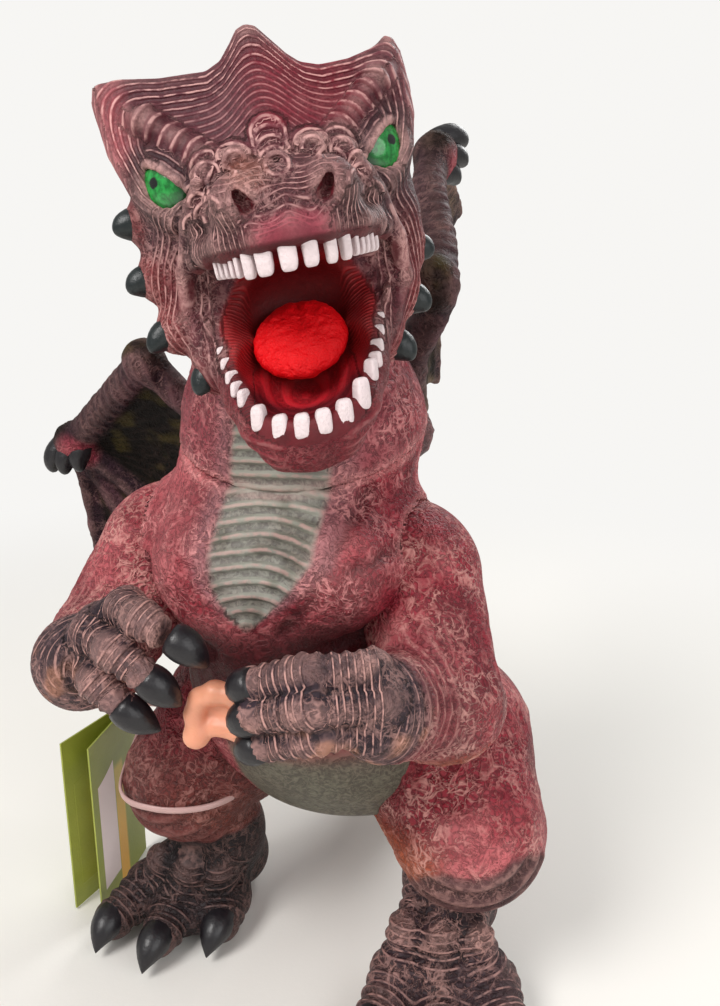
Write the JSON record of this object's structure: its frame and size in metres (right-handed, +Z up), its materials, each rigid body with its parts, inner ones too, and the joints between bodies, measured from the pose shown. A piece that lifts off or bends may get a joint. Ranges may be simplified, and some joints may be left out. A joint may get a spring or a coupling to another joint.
{
  "type": "toy dragon figure",
  "caption": "Standing soft-vinyl toy dragon with an open roaring mouth, crest, wings and tail; head, arms, wings and tail turn on plugs, and a folded card tag hangs on a leg.",
  "frame": {"origin": "on the ground, at the middle of the figure's box", "axes": "+Z up; the figure faces -Y and its left side is +X"},
  "size_m": [0.29, 0.3432, 0.3783],
  "materials": {
    "vinyl_red": "dry-brushed satin",
    "vinyl_head": "dry-brushed satin",
    "vinyl_dark": "dry-brushed satin",
    "eye_green": "glossy",
    "fibre": "loose fibre",
    "case_plastic": "moulded",
    "steel": "plated",
    "board": "bare",
    "speaker_black": "moulded",
    "card": "coated card",
    "loop_plastic": "clear moulded strip"
  },
  "bodies": {
    "torso": {"torso_shell": "vinyl_red", "torso_filling": "fibre", "left_leg": "vinyl_red", "right_leg": "vinyl_red", "left_leg_filling": "fibre", "right_leg_filling": "fibre", "sound_case": "case_plastic", "sound_cover": "case_plastic", "circuit_board": "board", "speaker": "speaker_black", "cell_1": "steel", "cell_2": "steel", "cell_3": "steel", "cover_screw_1": "steel", "cover_screw_2": "steel", "tag_loop": "loop_plastic"},
    "head": {"head_shell": "vinyl_head", "head_filling": "fibre", "left_eye": "eye_green", "right_eye": "eye_green"},
    "left_arm": {"left_arm": "vinyl_red"},
    "right_arm": {"right_arm": "vinyl_red"},
    "left_wing": {"left_wing": "vinyl_dark"},
    "right_wing": {"right_wing": "vinyl_dark"},
    "tail": {"tail": "vinyl_dark", "tail_filling": "fibre"},
    "tag": {"hang_tag": "card"},
    "button": {"press_button": "case_plastic"}
  },
  "joints": [
    {"name": "neck_swivel", "type": "hinge", "parent": "torso", "child": "head", "pos_m": [0.04061, -0.07429, 0.244], "axis": [0.0498, -0.3485, 0.936], "range_deg": [-35, 35]},
    {"name": "left_shoulder", "type": "hinge", "parent": "torso", "child": "left_arm", "pos_m": [0.07559, -0.07661, 0.19], "axis": [-1, 0, 0], "range_deg": [0, 40]},
    {"name": "right_shoulder", "type": "hinge", "parent": "torso", "child": "right_arm", "pos_m": [-0.01037, -0.07661, 0.19], "axis": [-1, 0, 0], "range_deg": [0, 40]},
    {"name": "left_wing_swing", "type": "hinge", "parent": "torso", "child": "left_wing", "pos_m": [0.06303, -0.01825, 0.226], "axis": [-0.4875, 0.6337, -0.6006], "range_deg": [-10, 100]},
    {"name": "right_wing_swing", "type": "hinge", "parent": "torso", "child": "right_wing", "pos_m": [0.01103, -0.01825, 0.226], "axis": [-0.4875, -0.6337, 0.6006], "range_deg": [-96, 15]},
    {"name": "tail_swivel", "type": "hinge", "parent": "torso", "child": "tail", "pos_m": [0.05126, -0.02053, 0.097], "axis": [0, 0.7507, -0.6606], "range_deg": [-20, 20]},
    {"name": "tag_swing", "type": "hinge", "parent": "torso", "child": "tag", "pos_m": [-0.06841, -0.05235, 0.0827], "axis": [0, 1, 0], "range_deg": [0, 20]},
    {"name": "button_press", "type": "slide", "parent": "torso", "child": "button", "axis": [0, 1, 0], "range_m": [0, 0.0015], "stiffness_N_per_m": 800, "springref_m": -0.001}
  ]
}
